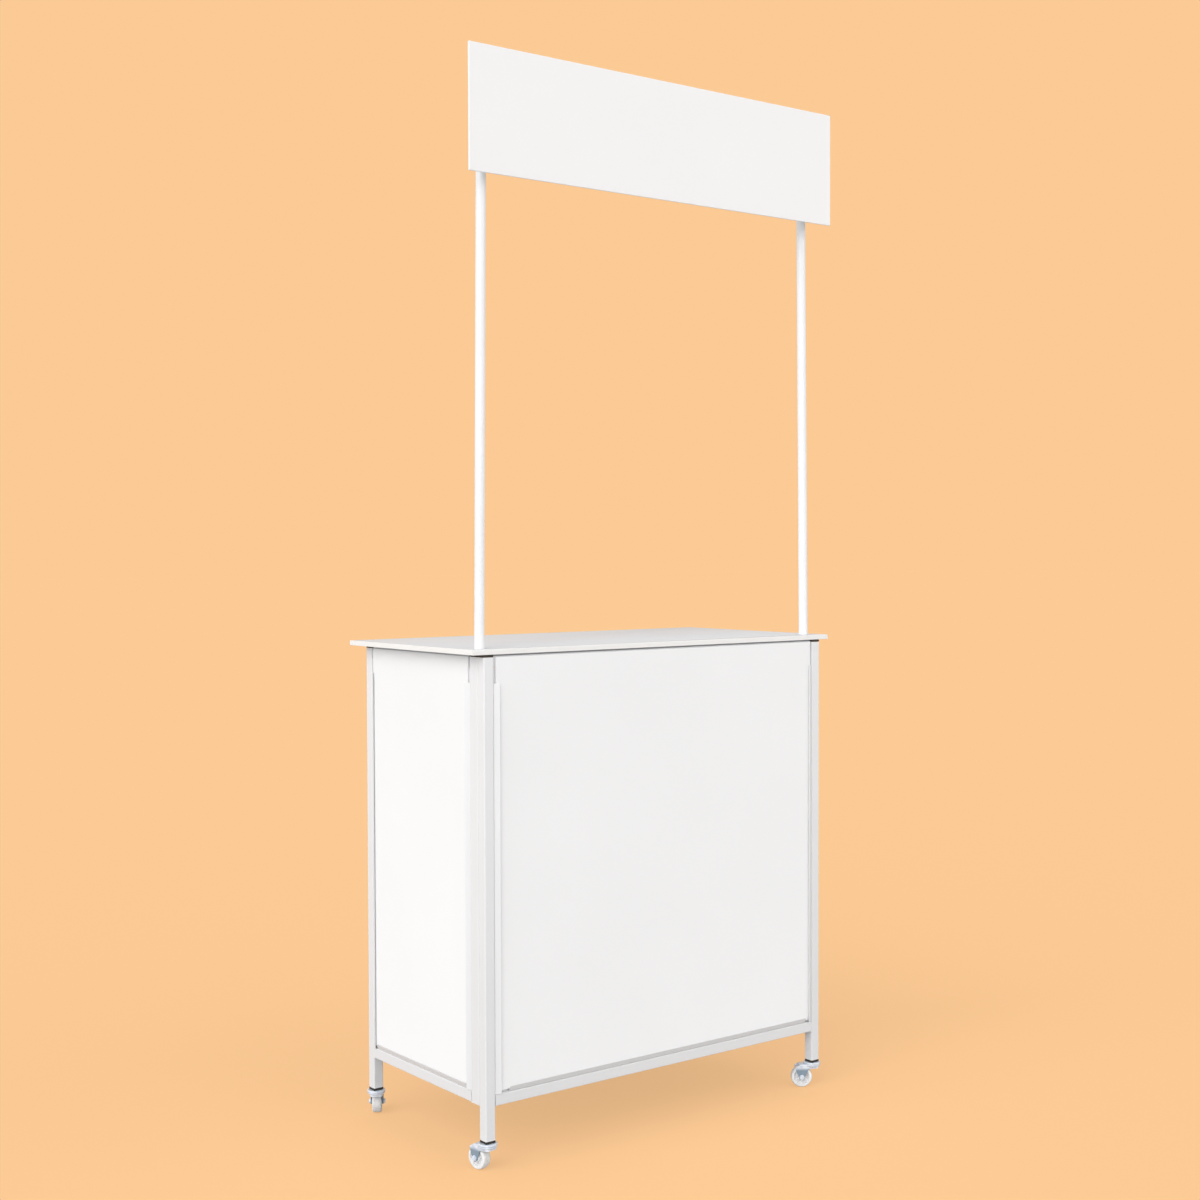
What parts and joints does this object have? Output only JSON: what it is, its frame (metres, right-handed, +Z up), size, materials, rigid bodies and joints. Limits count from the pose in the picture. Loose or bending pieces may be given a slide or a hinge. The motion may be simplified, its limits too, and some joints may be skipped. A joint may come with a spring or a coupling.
{
  "type": "promotion counter",
  "caption": "Portable promotion counter: white steel frame on swivel casters with slide-in panels, a flat top, shelves open at the back and a header board raised on poles",
  "frame": {"origin": "on the floor, under the middle of the overall footprint with the casters as they stand in the picture", "axes": "+Z is up, +X is the customer's right, -Y faces the customer and +Y the seller"},
  "size_m": [0.852, 0.436, 1.932],
  "materials": {
    "white_paint": "white powder coat, low sheen",
    "white_board": "plain white foam board, satin",
    "white_laminate": "white laminate on board, satin",
    "black_plastic": "moulded black plastic",
    "white_plastic": "moulded white plastic",
    "zinc": "bright zinc plate",
    "white_nylon": "moulded white nylon"
  },
  "bodies": {
    "counter": {"front_left_post": "white_paint", "front_right_post": "white_paint", "rear_left_post": "white_paint", "rear_right_post": "white_paint", "left_pole_socket": "white_paint", "right_pole_socket": "white_paint", "bottom_front_rail": "white_paint", "bottom_rear_rail": "white_paint", "bottom_left_rail": "white_paint", "bottom_right_rail": "white_paint", "top_front_rail": "white_paint", "top_rear_rail": "white_paint", "top_left_rail": "white_paint", "top_right_rail": "white_paint", "front_left_channel": "white_paint", "front_right_channel": "white_paint", "front_bottom_channel": "white_paint", "left_front_channel": "white_paint", "left_rear_channel": "white_paint", "left_bottom_channel": "white_paint", "right_front_channel": "white_paint", "right_rear_channel": "white_paint", "right_bottom_channel": "white_paint", "middle_shelf": "white_paint", "front_panel": "white_board", "left_panel": "white_board", "right_panel": "white_board", "bottom_board": "white_board", "table_top": "white_laminate", "front_left_top_plug": "black_plastic", "front_right_top_plug": "black_plastic", "rear_left_top_plug": "black_plastic", "rear_right_top_plug": "black_plastic", "front_left_caster_plug": "black_plastic", "front_right_caster_plug": "black_plastic", "rear_left_caster_plug": "black_plastic", "rear_right_caster_plug": "black_plastic", "left_pole_bush": "black_plastic", "right_pole_bush": "black_plastic", "front_left_caster_stem": "zinc", "front_right_caster_stem": "zinc", "rear_left_caster_stem": "zinc", "rear_right_caster_stem": "zinc"},
    "header": {"left_pole": "white_paint", "right_pole": "white_paint", "header_board": "white_board", "left_header_clip": "white_plastic", "right_header_clip": "white_plastic"},
    "front_left_swivel": {"front_left_caster_fork": "zinc", "front_left_caster_axle": "zinc"},
    "front_left_wheel": {"front_left_wheel": "white_nylon"},
    "front_right_swivel": {"front_right_caster_fork": "zinc", "front_right_caster_axle": "zinc"},
    "front_right_wheel": {"front_right_wheel": "white_nylon"},
    "rear_left_swivel": {"rear_left_caster_fork": "zinc", "rear_left_caster_axle": "zinc"},
    "rear_left_wheel": {"rear_left_wheel": "white_nylon"},
    "rear_right_swivel": {"rear_right_caster_fork": "zinc", "rear_right_caster_axle": "zinc"},
    "rear_right_wheel": {"rear_right_wheel": "white_nylon"}
  },
  "joints": [
    {"name": "header_lift", "type": "slide", "parent": "counter", "child": "header", "axis": [0, 0, 1], "range_m": [0, 0.27]},
    {"name": "front_left_swivel_turn", "type": "hinge", "parent": "counter", "child": "front_left_swivel", "pos_m": [-0.39, -0.20098, 0.047], "axis": [0, 0, 1], "continuous": true},
    {"name": "front_left_wheel_spin", "type": "hinge", "parent": "front_left_swivel", "child": "front_left_wheel", "pos_m": [-0.39328, -0.18024, 0.021], "axis": [-0.9877, -0.1564, 0], "continuous": true},
    {"name": "front_right_swivel_turn", "type": "hinge", "parent": "counter", "child": "front_right_swivel", "pos_m": [0.39, -0.20098, 0.047], "axis": [0, 0, 1], "continuous": true},
    {"name": "front_right_wheel_spin", "type": "hinge", "parent": "front_right_swivel", "child": "front_right_wheel", "pos_m": [0.37323, -0.18834, 0.021], "axis": [-0.6018, -0.7986, 0], "continuous": true},
    {"name": "rear_left_swivel_turn", "type": "hinge", "parent": "counter", "child": "rear_left_swivel", "pos_m": [-0.39, 0.17902, 0.047], "axis": [0, 0, 1], "continuous": true},
    {"name": "rear_left_wheel_spin", "type": "hinge", "parent": "rear_left_swivel", "child": "rear_left_wheel", "pos_m": [-0.37795, 0.19622, 0.021], "axis": [-0.8192, 0.5736, 0], "continuous": true},
    {"name": "rear_right_swivel_turn", "type": "hinge", "parent": "counter", "child": "rear_right_swivel", "pos_m": [0.39, 0.17902, 0.047], "axis": [0, 0, 1], "continuous": true},
    {"name": "rear_right_wheel_spin", "type": "hinge", "parent": "rear_right_swivel", "child": "rear_right_wheel", "pos_m": [0.37887, 0.19683, 0.021], "axis": [-0.848, -0.5299, 0], "continuous": true}
  ]
}
